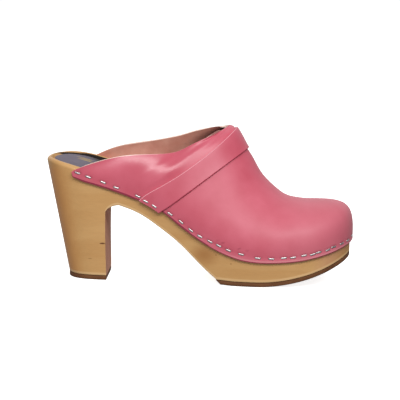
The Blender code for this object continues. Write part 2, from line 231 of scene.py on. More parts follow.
# Wooden sole, mm: the upper edge of the wood and the underside of the waist
wood = {
    "rimRound": 3.5,
    "rimWidth": 3.9,
    "hollowBlend": 2.2,
    "hollowBack": 2.6,
    "hollowDepth": 5.0,
    "hollowFullX": 70.0,
    "sideTaper": 0.0024,
    "baseBack": 18.7,
    "baseFront": 49.6,
    "breastTop": (48.2, 52.0),
    "waistStart": (60.0, 60.2),
    "seatFrontX": 45.5,
    "waistEdgeX": 56.5,
    "forefootX": 136.5,
    "flatStartX": 152.0,
    "flatEndX": 166.0,
    "rearLift": 0.8,
    "toeSpring": 21.0,
    "springPower": 1.95,
    "tread": 3.2,
    "gap": 0.3,
    "lowerRound": 0.9,
    "lowerSteps": 5,
    "lowerBand": (0.9, 1.8),
    "curvePoints": 60,
    "outlinePoints": 1200,
    "stationSteps": 2000,
    "loops": {"seat": 70, "breast": 40, "waist": 60, "front": 90},
    "undersideSteps": 5,
    "sideSteps": 18,
    "rimSteps": 9,
    "footbedInsets": (0.35, 0.8, 1.3, 1.8, 2.3, 2.9, 4.5, 9.0, 14.0),
    "footbedNarrow": 40.0,
    "milledFoot": (1.2, 2.5),  # insets of the milled wall round the heel seat, painted dark as shade
    "milledTop": (0.7, 1.2),
    "milledStartX": 20.0,
    "milledEndX": 82.0,
    "milledFade": (8.0, 10.0),
}
woodEdge = {
    "columns": ("x", "lateralY", "medialY", "lateralZ", "medialZ"),
    "rows": np.array((
        (-0.35, 0.0, 0.0, 100.6, 100.6),
        (0.7, 13.3, 13.3, 100.1, 101.4),
        (3.5, 24.4, 24.3, 98.7, 101.9),
        (8.2, 31.4, 31.0, 96.0, 101.8),
        (14.5, 34.4, 33.8, 91.6, 99.3),
        (21.5, 34.7, 33.1, 86.6, 94.2),
        (29.8, 34.4, 31.4, 79.8, 86.8),
        (38.0, 35.9, 31.1, 69.8, 76.3),
        (46.3, 39.4, 32.8, 56.3, 62.1),
        (54.5, 43.9, 37.2, 43.2, 47.4),
        (62.8, 47.8, 43.3, 34.7, 36.8),
        (71.1, 50.2, 47.8, 31.8, 32.6),
        (78.5, 50.3, 49.4, 32.2, 32.4),
        (85.1, 47.8, 48.3, 34.3, 34.3),
        (90.9, 41.7, 43.9, 37.5, 37.5),
        (95.5, 31.7, 35.6, 40.8, 40.8),
        (98.8, 17.8, 23.3, 43.7, 43.7),
        (100.3, -2.8, 2.8, 45.3, 45.3),
    )),
}
waistUnderside = {
    "columns": ("x", "z"),
    "rows": np.array((
        (24.8, 63.2),
        (31.4, 56.5),
        (38.0, 45.4),
        (44.6, 32.4),
        (51.2, 16.2),
        (56.4, 4.9),
    )),
}
toeStation = len(woodEdge["rows"]) - 1


def woodEdgeCurve():
    # one closed curve: out along the lateral side, back along the medial side
    x = column(woodEdge, "x", last["length"])
    sides = []
    for name, side in (("lateral", lateral), ("medial", medial)):
        y = side * column(woodEdge, name + "Y", last["ballWidth"])
        z = column(woodEdge, name + "Z", last["heelHeight"])
        sides.append(np.stack((x, y, z), axis=1))
    return spline(np.concatenate((sides[0], sides[1][-2:0:-1])), closed=True)


edgeCurve = woodEdgeCurve()
outline = edgeCurve(np.linspace(0, 2 * toeStation, wood["outlinePoints"]))


def edge(station, side):
    station = np.asarray(station, float)
    return edgeCurve(station if side == lateral else 2 * toeStation - station)


def stationAt(x):
    stations = np.linspace(0, toeStation, wood["stationSteps"])
    return np.interp(x, edge(stations, lateral)[:, 0], stations)


seatEnd = stationAt(wood["seatFrontX"])
breastEnd = stationAt(wood["waistEdgeX"])
waistEnd = stationAt(wood["forefootX"])


def rocker(x):
    # walking face of the forefoot tread: a flat spot, then the toe spring
    rear = ease((wood["flatStartX"] - x) / (wood["flatStartX"] - wood["forefootX"]))
    toe = np.clip((x - wood["flatEndX"]) / (last["length"] - wood["flatEndX"]), 0, None)
    return wood["rearLift"] * rear + wood["toeSpring"] * toe ** wood["springPower"]


def undersideRows():
    count = wood["curvePoints"]
    share = np.linspace(0, 1, count)
    floor = wood["tread"] + wood["gap"]
    heel = share * seatEnd
    across = edge(heel, lateral)[:, 0] / edge(seatEnd, lateral)[0]
    heelX = wood["baseBack"] + across * (wood["baseFront"] - wood["baseBack"])
    stretches = [(heel, heelX, np.full(count, floor))]
    topX, topZ = wood["breastTop"]
    startX, startZ = wood["waistStart"]
    fillet = np.linspace(0.5 * (seatEnd + breastEnd), breastEnd, count)
    turn = share * math.pi / 2
    stretches.append((fillet, startX - (startX - topX) * np.cos(turn), topZ + (startZ - topZ) * np.sin(turn)))
    places = share * (len(waistUnderside["rows"]) - 1)
    waistX = spline(column(waistUnderside, "x", last["length"]))(places)
    waistZ = spline(column(waistUnderside, "z", last["heelHeight"]))(places)
    stretches.append((breastEnd + share * (waistEnd - breastEnd), waistX, waistZ))
    front = waistEnd + share * (toeStation - waistEnd)
    frontX = edge(front, lateral)[:, 0]
    stretches.append((front, frontX, rocker(frontX) + floor))
    return [np.concatenate(part) for part in zip(*stretches)]


underside = undersideRows()


def lowerEdge(station, side):
    top = edge(station, side)
    x = np.interp(station, underside[0], underside[1])
    z = np.interp(station, underside[0], underside[2])
    y = top[..., 1] * (1 - wood["sideTaper"] * (top[..., 2] - z))
    return np.stack((x, y, z), axis=-1)


def wall(station, side, depth):
    # on the wood's side, depth mm straight below its upper edge
    point = edge(station, side)
    point[..., 1] *= 1 - wood["sideTaper"] * depth
    point[..., 2] -= depth
    return point


def wallNormal(station, side, depth):
    along = wall(station + slopeStep, side, depth) - wall(station - slopeStep, side, depth)
    down = wall(station, side, depth + 1) - wall(station, side, depth)
    return unit(np.cross(down, along)) * -side


def footbed(x, y):
    # straight across from edge to edge, less the milled hollow
    station = stationAt(x)
    left = edge(station, lateral)
    right = edge(station, medial)
    share = np.clip((y - left[..., 1]) / np.maximum(right[..., 1] - left[..., 1], 1), 0, 1)
    level = left[..., 2] + share * (right[..., 2] - left[..., 2])
    inside = np.hypot(x[..., None] - outline[:, 0], y[..., None] - outline[:, 1]).min(axis=-1)
    depth = wood["hollowBack"] + (wood["hollowDepth"] - wood["hollowBack"]) * ease(x / wood["hollowFullX"])
    return level - depth * ease((inside - wood["rimWidth"]) / wood["hollowBlend"])


def inward(station, side):
    along = unit((edge(station + slopeStep, side) - edge(station - slopeStep, side)) * (1, 1, 0))
    return np.stack((along[..., 1], -along[..., 0], 0 * along[..., 0]), axis=-1) * side


def woodLoops(stations):
    # closed loops round the wood: underside, rounded lower edge, side, rounded rim, footbed
    halves = {}
    for side in (lateral, medial):
        low = lowerEdge(stations, side)
        corner = edge(stations, side)
        start = corner + wood["rimRound"] * unit(low - corner)
        into = inward(stations, side)
        under = low + into * wood["lowerRound"]
        upside = low + wood["lowerRound"] * unit(start - low)
        points = []
        for t in np.linspace(0, 1, wood["lowerSteps"]):
            points.append((1 - t) ** 2 * under + 2 * t * (1 - t) * low + t * t * upside)
        for height in wood["lowerBand"]:
            points.append(upside + height * unit(start - low))
        foot = points[-1]
        for share in np.linspace(0, 1, wood["sideSteps"])[1:-1]:
            points.append(foot + share * (start - foot))
        for turn in np.linspace(0, math.pi / 2, wood["rimSteps"]):
            over = into * wood["rimRound"] * (1 - math.cos(turn))
            points.append(start + over + (corner - start) * math.sin(turn))
        halves[side] = points
    left = halves[lateral][-1]
    right = halves[medial][-1]
    width = np.linalg.norm(right - left, axis=1, keepdims=True)
    near = [inside / np.maximum(width, wood["footbedNarrow"]) for inside in wood["footbedInsets"]]
    seat = []
    for share in near + [0.5] + [1 - share for share in near[::-1]]:
        across = left + share * (right - left)
        across[:, 2] = footbed(across[:, 0], across[:, 1])
        seat.append(across)
    bottom = []
    for share in np.linspace(0, 1, 2 * wood["undersideSteps"])[1:-1]:
        bottom.append(halves[medial][0] + share * (halves[lateral][0] - halves[medial][0]))
    loop = halves[lateral] + seat + halves[medial][::-1] + bottom + halves[lateral][:1]
    # tone 1: painted highlight on the rounded lower edge; -1: painted shade on the milled wall round the seat
    edgeHighlight = np.zeros(len(halves[lateral]))
    edgeHighlight[1:wood["lowerSteps"] + 1] = 1
    x = edge(stations, lateral)[:, :1]
    inside = np.array(wood["footbedInsets"])
    shadedWall = []
    for low, high in (wood["milledFoot"], wood["milledTop"]):
        shadedWall.append(((inside > low) & (inside < high)).astype(float))
    fadeIn, fadeOut = wood["milledFade"]
    higher = ease((x - wood["milledStartX"]) / fadeIn)
    # painted shade on the milled wall round the heel seat
    milled = -(shadedWall[0] + shadedWall[1] * higher) * ease((wood["milledEndX"] - x) / fadeOut)
    ones = np.ones((len(stations), 1))
    tone = np.concatenate((edgeHighlight * ones, milled, 0 * ones, milled[:, ::-1], edgeHighlight[::-1] * ones,
                           np.zeros(len(bottom)) * ones, edgeHighlight[:1] * ones), axis=1)
    return np.stack(loop, axis=1), tone


# Alder sole, turned and sanded, then sealed with a satin lacquer: a warm tan with faint
# long grain; end grain at the heel's back and breast drinks the stain; a painted highlight pales
# the rounded lower edge, and painted shade darkens the seat's milled wall and the toe's end
def lacqueredAlder():
    alder = {
        "pale": "#CEA168",
        "tan": "#C4945B",
        "back": "#CC8C4E",
        "breast": "#CC9078",
        "edgeHighlight": "#DDB683",
        "milled": "#1C1412",
        "ringWidth": 9.0,
        "poreWidth": 0.9,
        "grainStretch": (0.12, 1.0, 1.0),
        "grainTurn": (0.0, 0.12, 0.05),
        "roughness": (0.36, 0.46),
        "endRoughness": 0.85,
        "endFacing": (0.3, 0.9),  # share of the normal along the shoe where end grain starts and is full
        "rimFrom": (86.0, 92.0),  # height over which the end grain's stain gives way to the rim
        "marksAndToeShade": (  # centre, radii, colour and softness of marks on the outer side; the last is painted shade
            ((46.6, -27, 29.5), (2.6, 14, 0.75), "#6E4423", 0.35),
            ((36.8, -25, 16.8), (2.2, 14, 0.5), "#A67A45", 0.6),
            ((127.0, -37, 24.0), (16.0, 30, 12.0), "#AE7A45", 1.0),
            ((136.2, -39, 24.3), (0.7, 20, 0.6), "#8A5C30", 0.6),
            ((147.9, -41, 17.8), (0.7, 20, 0.6), "#8A5C30", 0.6),
            # painted shade: the toe's end darker
            ((236.0, -12, 20.0), (26.0, 34, 22.0), "#B88A48", 1.0),
        ),
    }
    material, tree, shader, place = newMaterial("satin lacquered alder")
    grain = addNode(tree, "ShaderNodeMapping", {
        "Vector": place, "Scale": alder["grainStretch"], "Rotation": alder["grainTurn"]}).outputs["Vector"]
    rings, streak = clouded(
        tree, grain, alder["ringWidth"], 3.0, (0.3, alder["tan"]), (0.7, alder["pale"]), distortion=0.4)
    pores = addNode(tree, "ShaderNodeTexNoise", {
        "Vector": grain, "Scale": perMetre(alder["poreWidth"]), "Detail": 2.0}).outputs["Fac"]
    poreShade = addNode(tree, "ShaderNodeMapRange", {
        "Value": pores, "From Min": 0.35, "From Max": 0.6, "To Min": 0.96, "To Max": 1.0})
    body = addNode(tree, "ShaderNodeVectorMath", {
        "operation": "SCALE", 0: streak, "Scale": poreShade.outputs["Result"]}).outputs["Vector"]
    normal = addNode(tree, "ShaderNodeNewGeometry").outputs["Normal"]
    facing = addNode(tree, "ShaderNodeSeparateXYZ", {0: normal}).outputs["X"]
    level = addNode(tree, "ShaderNodeSeparateXYZ", {0: place}).outputs["Z"]
    start, full = alder["endFacing"]
    below, rim = alder["rimFrom"]
    for end, sign in (("back", -1), ("breast", 1)):
        endOn = addNode(tree, "ShaderNodeMapRange", {
            "Value": facing, "From Min": sign * start, "From Max": sign * full, "To Min": 0.0, "To Max": 0.9})
        body = stain(tree, body, level, rim * mm, below * mm, alder[end], endOn.outputs["Result"])
    for centre, radii, colour, soft in alder["marksAndToeShade"]:
        reach = spotReach(tree, place, centre, radii)
        body = stain(tree, body, reach, 1.0, 1.0 - soft, colour, shape="SMOOTHSTEP")
    tone = addNode(tree, "ShaderNodeAttribute", {"attribute_name": "tone"}).outputs["Fac"]
    # painted highlight on the rounded lower edge, painted shade on the seat's milled wall
    body = stain(tree, body, tone, 0.0, 1.0, alder["edgeHighlight"], 0.75)
    body = stain(tree, body, tone, 0.0, -1.0, alder["milled"])
    glossy, satin = alder["roughness"]
    gloss = addNode(tree, "ShaderNodeMapRange", {"Value": rings, "To Min": glossy, "To Max": satin})
    dull = addNode(tree, "ShaderNodeMapRange", {
        "Value": facing, "From Min": start, "From Max": full,
        "To Min": gloss.outputs["Result"], "To Max": alder["endRoughness"]})
    shadedWall = addNode(tree, "ShaderNodeMapRange", {
        "Value": tone, "From Min": 0.0, "From Max": -1.0, "To Min": dull.outputs["Result"], "To Max": 1.0})
    bump = addNode(tree, "ShaderNodeBump", {"Height": pores, "Strength": 0.12, "Distance": 0.0002})
    fill(tree, shader, {
        "Base Color": body, "Roughness": shadedWall.outputs["Result"], "Normal": bump.outputs["Normal"],
        "IOR": 1.5})
    return material


def buildWood():
    loops = wood["loops"]
    stations = np.concatenate((
        np.linspace(0, seatEnd, loops["seat"]),
        np.linspace(seatEnd, breastEnd, loops["breast"])[1:],
        np.linspace(breastEnd, waistEnd, loops["waist"])[1:],
        np.linspace(waistEnd, toeStation, loops["front"])[1:],
    ))
    loop, tone = woodLoops(stations)
    sole = sheetObject("woodSole", [(loop, False)], [lacqueredAlder()], tone=[tone])
    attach(sole, "root")
    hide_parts("wood_sole")
    print("wood sole:", len(sole.data.polygons), "faces")


buildWood()

# Treads: brown rubber sheet glued under heel and forefoot, edges trimmed on a wheel
treads = {
    "share": 0.99,
    "edgeRound": 0.45,
    "rearSlant": 3.4,
    "endStation": 0.02,
    "heelLoops": 50,
    "frontLoops": 90,
}


# Crepe-brown rubber, sheet moulded and buffed: matte, with a fine grit and paler dust
def buffedRubber():
    rubber = {"brown": "#633A1A", "dust": "#6E4421", "grit": 0.8, "clouds": 9.0}
    material, tree, shader, place = newMaterial("buffed brown rubber")
    body = clouded(tree, place, rubber["clouds"], 2.0, (0.35, rubber["brown"]), (0.7, rubber["dust"]))[1]
    grit = addNode(tree, "ShaderNodeTexNoise", {
        "Vector": place, "Scale": perMetre(rubber["grit"]), "Detail": 3.0}).outputs["Fac"]
    bump = addNode(tree, "ShaderNodeBump", {"Height": grit, "Strength": 0.35, "Distance": 0.0002})
    fill(tree, shader, {"Base Color": body, "Roughness": 0.85, "Normal": bump.outputs["Normal"], "IOR": 1.52})
    return material


def treadLoops(stations, bottom, slant):
    left = lowerEdge(stations, lateral)
    right = lowerEdge(stations, medial)
    middle = 0.5 * (left + right)
    trim = treads["edgeRound"]
    loop = []
    for wooden, heights in ((left, (0, wood["tread"])), (right, (wood["tread"], 0))):
        outer = middle + treads["share"] * (wooden - middle)
        inner = outer - trim * unit(wooden - middle)
        for height in heights:
            into = trim if height == 0 else -trim
            steps = [(inner, height), (outer, height + into)]
            if (height == 0) == (wooden is right):
                steps.reverse()
            for points, lift in steps:
                points = points.copy()
                points[:, 0] = np.maximum(points[:, 0], points[0, 0] + slant * (1 - lift / wood["tread"]))
                points[:, 2] = bottom(points[:, 0]) + lift
                loop.append(points)
    return np.stack(loop + loop[:1], axis=1)


def buildTreads():
    rubber = buffedRubber()
    heel = np.linspace(treads["endStation"], seatEnd, treads["heelLoops"])
    front = np.linspace(waistEnd, toeStation - treads["endStation"], treads["frontLoops"])
    for name, node, stations, bottom, slant in (
        ("heelTread", "heel_tread", heel, np.zeros_like, 0),
        ("forefootTread", "forefoot_tread", front, rocker, treads["rearSlant"]),
    ):
        tread = sheetObject(name, [(treadLoops(stations, bottom, slant), False)], [rubber], capEnds=True)
        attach(tread, "root")
        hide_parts(node)
    print("treads: heel and forefoot")


buildTreads()

# Upper, mm: ribs from its heel tip to the toe, each a band on the wood and a curve to the
# collar or crest; the toe's ribs fan out from one point
upper = {
    "leather": 1.8,
    "gap": 0.45,
    "edgeShare": 0.15,
    "medialTipDrop": 4.5,
    "medialTipRibs": 3.2,
    "bandNearEnd": 0.9,
    "throat": 8,
    "fanRibs": 7,
    "toeLower": 8.7,
    "toeRise": 0.55,
    "toeSpread": 0.67,
    "cutRound": 0.7,
    "tipRound": 1.7,
    "tipRibs": 0.35,
    "tipMost": 0.3,
    "tipFlat": 1.6,
    "tipSlope": 0.2,
    "ribSteps": 13,
    "bandSteps": 16,
    "riseSteps": 52,
    "pressedTo": 0.11,
    "edgeDark": 1.0,
    "darkRows": ((100, 130), (4, 2)),  # by x: rows along the wood darkened as painted shade
    "pressedAlong": ((105, 150), (0.25, 1)),  # by x: how pale the stapled strip is
    "rawAlong": ((0, 68, 84, 118, 130, 145), (1, 1, 0.45, 0.45, 0.8, 0.8)),  # by x: share of pale cut line
    "rawWide": 90,
    "dullAlong": ((98, 116), (0, 0.4)),  # by x: gloss lost towards the throat
    "dullRibs": (0.1, 0.9),  # ribs past the strap's rear edge where it starts to go, and over how many
}
ribTable = {
    "columns": ("footX", "edgeX", "lower", "leave", "topX", "lateralY", "lateralZ",
                "medialY", "medialZ", "lean", "rise", "spread"),
    "rows": np.array((
        (9.4, 9.4, 8.0, 5.0, 9.5, 35.2, 70.6, 34.7, 74.6, 0, 0.33, 0.33),
        (11.2, 12.0, 8.5, 4.0, 12.8, 36.0, 73.5, 35.6, 76.8, 2, 0.33, 0.33),
        (13.4, 15.0, 9.1, 3.0, 17.6, 35.3, 76.8, 34.6, 79.9, 5, 0.33, 0.33),
        (16.3, 18.3, 9.0, 3.0, 24.0, 33.8, 80.1, 32.6, 83.4, 11, 0.33, 0.33),
        (19.4, 22.0, 9.1, 3.0, 32.2, 33.2, 82.1, 31.2, 86.5, 13, 0.33, 0.33),
        (22.5, 25.4, 9.3, 3.0, 41.3, 29.8, 83.5, 26.8, 90.4, 17, 0.33, 0.33),
        (25.4, 28.1, 9.6, 3.0, 50.0, 24.4, 90.4, 20.3, 95.4, 26, 0.33, 0.30),
        (27.5, 30.2, 9.8, 3.0, 56.2, 15.6, 95.9, 12.8, 98.0, 42, 0.33, 0.28),
        (29.0, 31.4, 10.0, 3.0, 59.7, -0.6, 99.8, 0.6, 99.8, 90, 0.33, 0.325),
        (31.2, 33.6, 9.5, 3.0, 61.7, -0.6, 97.8, 0.6, 97.8, 90, 0.33, 0.305),
        (38.6, 40.3, 8.5, 3.0, 65.0, -0.6, 87.2, 0.6, 87.2, 90, 0.33, 0.29),
        (43.8, 45.7, 10.0, 3.0, 67.6, -0.6, 79.3, 0.6, 79.3, 90, 0.33, 0.31),
        (50.0, 51.7, 10.5, 3.0, 70.0, -0.6, 71.0, 0.6, 71.0, 90, 0.34, 0.34),
        (57.0, 58.8, 10.3, 3.0, 72.9, -0.6, 64.2, 0.6, 64.2, 90, 0.36, 0.38),
        (64.5, 66.2, 10.6, 3.0, 76.4, -0.6, 58.2, 0.6, 58.2, 90, 0.38, 0.41),
        (71.1, 72.6, 10.4, 3.0, 80.6, -0.6, 54.0, 0.6, 54.0, 90, 0.40, 0.44),
        (77.3, 78.6, 10.0, 3.0, 85.5, -0.6, 52.6, 0.6, 52.6, 90, 0.42, 0.47),
    )),
}
fanStart = len(ribTable["rows"]) - 1
lastRib = fanStart + upper["fanRibs"]


def ribCurves():
    rows = {}
    for name in ("footX", "edgeX"):
        rows[name] = spline(stationAt(column(ribTable, name, last["length"])))
    for name in ("lower", "leave", "rise", "spread"):
        rows[name] = spline(column(ribTable, name), holdEnd=True)
    x = column(ribTable, "topX", last["length"])
    throat = upper["throat"]
    rows["lean"] = spline(column(ribTable, "lean")[:throat + 1], holdEnd=True)
    for name, side in (("lateral", lateral), ("medial", medial)):
        y = side * column(ribTable, name + "Y", last["ballWidth"])
        z = column(ribTable, name + "Z", last["instepHeight"])
        top = np.stack((x, y, z), axis=1)
        collar = spline(top[:throat + 1], holdEnd=True)
        crest = spline(top[throat:], holdStart=True, holdEnd=True)
        rows[side] = (collar, crest)
    return rows


ribs = ribCurves()


def ribPoint(u, v, side):
    # outside of the upper at rib number u; v runs from 0 at the wood to 1 at collar or crest
    u = np.asarray(u, float)
    v = np.asarray(v, float)
    row = np.minimum(u, fanStart)
    fan = np.clip((u - fanStart) / upper["fanRibs"], 0, 1)
    blend = ease(fan)
    foot = ribs["footX"](row)
    foot = foot + fan * (toeStation - foot)
    leaveAt = ribs["edgeX"](row)
    leaveAt = leaveAt + fan * (toeStation - leaveAt)
    lower = ribs["lower"](row)
    drop = upper["medialTipDrop"] * ease(1 - row / upper["medialTipRibs"]) * (side == medial)
    lower = lower + blend * (upper["toeLower"] - lower) + drop
    leave = ribs["leave"](row) + drop
    rise = ribs["rise"](row)
    rise = rise + blend * (upper["toeRise"] - rise)
    spread = ribs["spread"](row)
    spread = spread + blend * (upper["toeSpread"] - spread)
    lean = np.radians(np.clip(ribs["lean"](np.minimum(row, upper["throat"])), 0, 90))
    sweep = fan * math.pi / 2
    collar, crest = ribs[side]
    throat = upper["throat"]
    behind = (row <= throat)[..., None]
    top = np.where(behind, collar(np.minimum(row, throat)), crest(np.maximum(row, throat) - throat))
    top[..., 2] -= drop

    def band(share):
        station = foot + (leaveAt - foot) * share
        depth = lower + (leave - lower) * share
        lift = upper["gap"] + upper["leather"]
        return wall(station, side, depth) + wallNormal(station, side, depth) * lift

    share = v / upper["edgeShare"]
    start = band(np.ones_like(share))
    away = unit(start - band(np.full_like(share, upper["bandNearEnd"])))
    # the heel tips lie flat on the wood instead of flaring out to the collar's line
    slope = away[..., 1] / np.maximum(away[..., 2], upper["tipSlope"])
    flat = start[..., 1] + slope * (top[..., 2] - start[..., 2])
    top[..., 1] += ease(1 - row / upper["tipFlat"]) * (flat - top[..., 1])
    chord = np.linalg.norm(top - start, axis=-1)
    slant = unit((top - start) * (1, 0, 1) + (0, 0, 1e-6))
    across = np.stack((-np.sin(sweep), -side * np.cos(sweep), 0 * sweep), axis=-1)
    arrive = np.cos(lean)[..., None] * slant + np.sin(lean)[..., None] * across
    first = start + away * (rise * chord)[..., None]
    second = top - arrive * (spread * chord)[..., None]
    t = np.clip((v - upper["edgeShare"]) / (1 - upper["edgeShare"]), 0, 1)[..., None]
    s = 1 - t
    curve = s**3 * start + 3 * s * s * t * first + 3 * s * t * t * second + t**3 * top
    return np.where((v <= upper["edgeShare"])[..., None], band(np.minimum(share, 1)), curve)


def ribPlaces():
    low = np.linspace(0, upper["edgeShare"], upper["bandSteps"], endpoint=False)
    high = np.linspace(upper["edgeShare"], 1, upper["riseSteps"] + 1)
    return np.concatenate((low, high))


# The ribs turn sharply at the throat; stretched leather does not, so they are evened out
# there over a few mm, both sides as one sheet over the crest; the collar is held, and the
# crest keeps its profile
even = {
    "ribs": (5, 11),
    "fade": 1.4,
    "rim": (0.06, 0.2),  # share of a rib held at the collar, and what is added at the throat
    "rimRibs": 1.3,
    "crest": 0.9,
    "low": 0.3,
    "spread": 9.0,
    "rounds": 600,
    "fastest": 0.25,
    "smallest": 0.1,
}


def evenShifts():
    low, high = even["ribs"]
    u = np.arange(low * upper["ribSteps"], high * upper["ribSteps"] + 1) / upper["ribSteps"]
    u, v = np.meshgrid(u, ribPlaces()[upper["bandSteps"]:], indexing="ij")
    rim, more = even["rim"]
    rim = rim + more * np.exp(-(((u - upper["throat"]) / even["rimRibs"]) ** 2))
    held = ease((upper["throat"] + even["crest"] - u) / even["crest"]) * (1 - ease((1 - v) / rim))
    allow = ease((u - low) / even["fade"]) * ease((high - u) / even["fade"])
    allow = allow * (1 - held) * ease((v - upper["edgeShare"]) / even["low"])
    pace = even["spread"] ** 2 / 2 / even["rounds"]
    start = np.stack([ribPoint(u, v, side) for side in (lateral, medial)])
    rates = []
    for axis in (1, 2):
        size = np.linalg.norm(np.gradient(start, axis=axis), axis=-1)
        rate = np.minimum(even["fastest"], pace / np.maximum(size, even["smallest"]) ** 2) * allow
        rate[:, :, -1] = rate[:, :, -1].mean(axis=0)
        rates.append(rate[..., None])
    points = start.copy()
    for turn in range(even["rounds"]):
        # past the crest each side goes on as the other one
        beyond = np.concatenate((points, points[::-1, :, -2:-1]), axis=2)
        move = np.zeros_like(points)
        move[:, 1:-1] += rates[0][:, 1:-1] * (points[:, 2:] - 2 * points[:, 1:-1] + points[:, :-2])
        move[:, :, 1:] += rates[1][:, :, 1:] * (beyond[:, :, 2:] - 2 * points[:, :, 1:] + beyond[:, :, :-2])
        points = points + move
    points = points + (start - points)[:, :, -1:] * ease(2 * v - 1)[..., None]
    return dict(zip((lateral, medial), points - start))


throatShifts = evenShifts()


def upperPoint(u, v, side):
    u, v = np.broadcast_arrays(np.asarray(u, float), np.asarray(v, float))
    table = throatShifts[side]
    rows, steps = np.array(table.shape[:2]) - 1.001  # just short of the last row and step
    row = np.clip((u - even["ribs"][0]) * upper["ribSteps"], 0, rows)
    step = (v - upper["edgeShare"]) / (1 - upper["edgeShare"]) * upper["riseSteps"]
    step = np.clip(step, 0, steps)
    i = row.astype(int)
    j = step.astype(int)
    p = (row - i)[..., None]
    q = (step - j)[..., None]
    near = (1 - q) * table[i, j] + q * table[i, j + 1]
    far = (1 - q) * table[i + 1, j] + q * table[i + 1, j + 1]
    return ribPoint(u, v, side) + (1 - p) * near + p * far


def upperNormal(u, v, side):
    vHigh = np.minimum(v + slopeStep, 1)
    along = upperPoint(u + slopeStep, v, side) - upperPoint(np.maximum(u - slopeStep, 0), v, side)
    rise = upperPoint(u, vHigh, side) - upperPoint(u, vHigh - slopeStep, side)
    out = unit(np.cross(along, rise)) * -side
    atCrest = (np.asarray(v) >= 1) & (np.asarray(u) >= upper["throat"])
    return unit(np.where(atCrest[..., None], out * (1, 0, 1), out))


# Soft fold under the collar on each side: a line in x and z mm along which the leather
# swells a little and above which it leans inward by a slope, or flares out at the rear;
# it dies out at the strap
folds = {
    lateral: {"swell": 0.8, "rows": np.array((  # x, z, slope
        (36, 92, -0.1), (44, 93, -0.12), (52, 95, -0.12), (60, 97, -0.03),
        (68, 95.8, 0.1), (76, 94.4, 0.19), (84, 93.6, 0.25), (92, 93.2, 0.28),
        (100, 93.2, 0.3), (108, 94.8, 0.27), (116, 98, 0.16), (124, 102, 0.04),
    ))},
    medial: {"swell": 0.3, "rows": np.array((
        (36, 97, -0.04), (44, 98, -0.04), (52, 100, -0.04), (60, 102, -0.02),
        (68, 103, 0.05), (76, 101, 0.1), (84, 98, 0.12), (92, 97, 0.12),
        (100, 97, 0.12), (108, 98, 0.12), (116, 101, 0.12), (124, 105, 0.12),
    ))},
}
foldForm = {
    "lineSteps": 200,
    "below": 7.0,
    "turn": 15.0,
    "swellBelow": 9.0,
    "swellWide": 11.0,
    "endX": (99.0, 118.0),
    "endRib": (7.7, 8.9),
}

# Staples: flat bright wire, its legs driven through the leather into the wood, in a dent
staple = {
    "crown": 4.4,
    "wide": 1.3,
    "thick": 0.6,
    "proud": 0.08,
    "legIn": 1.6,
    "bend": 0.7,
    "bendSteps": 5,
    "roundSteps": 9,
    "square": 0.6,
    "tiltSpread": 5.0,
    "seed": 11,
    "dent": 0.45,
    "dentLong": 2.8,
    "dentWide": 1.25,
    "outline": (0.4, 1.0),  # darkness and reach of the painted shade round it
}

# Old holes of drawn staples above the row, outer side
tackHoles = {
    "rows": ((136.8, 35.9), (141.4, 34.6), (153.9, 30.5), (160.1, 29.2)),  # x, z
    "dark": 0.6,
    "size": 0.75,
}

# Staples along the lower edge, by rib number and mm above the edge
stapleRow = {
    "searchTo": 0.3,  # share of a rib searched for a place, and in how many steps
    "searchSteps": 90,
    "aside": 0.05,
    "innerFirst": (1.35, 3.2),  # the inner tip is lower, so its first staple sits further on
    "tilts": {0: -16.0, 1: -6.0, 2: -8.0, 3: 3.0},  # degrees, of the ones set askew
    "rows": np.array((
        (0.73, 4.6), (2.05, 5.2), (3.55, 4.9), (4.91, 4.3), (8.54, 3.6),
        (10.32, 2.6), (11.03, 3.4), (11.61, 3.0), (12.05, 3.2), (12.49, 4.2),
        (12.87, 4.8), (13.29, 4.8), (13.83, 5.3), (14.64, 4.5), (15.33, 4.3),
        (15.96, 4.7), (16.55, 4.4), (17.26, 4.8), (17.88, 4.1), (18.30, 4.5),
        (19.05, 3.8), (19.57, 4.4), (20.47, 3.8), (21.33, 3.2), (22.20, 3.8),
    )),
}


def relief(points, side, u):
    fold = folds[side]
    form = foldForm
    x, z, slopes = spline(fold["rows"])(np.linspace(0, len(fold["rows"]) - 1, form["lineSteps"])).T
    at = points[..., 0]
    above = (points[..., 2] - np.interp(at, x, z)) / np.hypot(1, np.interp(at, x, np.gradient(z, x)))
    slope = np.interp(at, x, slopes)
    share = np.clip((above + form["below"]) / form["turn"], 0, 1)
    beyond = np.clip(above + form["below"] - form["turn"], 0, None)
    lean = slope * (form["turn"] * (share**3 - share**4 / 2) + beyond)
    swell = fold["swell"] * np.exp(-((above + form["swellBelow"]) / form["swellWide"]) ** 2)
    swell = swell * np.clip(slope / slopes.max(), 0, 1)
    fade = ease((form["endX"][1] - at) / (form["endX"][1] - form["endX"][0]))
    fade = fade * ease((form["endRib"][1] - u) / (form["endRib"][1] - form["endRib"][0]))
    return (swell - lean) * fade


def stapleRows(side):
    rows = stapleRow["rows"].copy()
    if side == medial:
        rows[0] = stapleRow["innerFirst"]
    return rows


def edgeSpot(rib, above, side):
    # centre, direction along the edge and outward normal, above mm over the lower edge
    places = np.linspace(0, stapleRow["searchTo"], stapleRow["searchSteps"])
    line = leatherPoint(np.full_like(places, rib), places, side)
    climb = np.linalg.norm(np.diff(line, axis=0), axis=1).cumsum()
    v = np.array([np.interp(above, climb, places[1:])])
    u = np.array([rib])
    aside = stapleRow["aside"]
    along = unit(leatherPoint(u + aside, v, side) - leatherPoint(u - aside, v, side))[0]
    return leatherPoint(u, v, side)[0], along, upperNormal(u, v, side)[0]


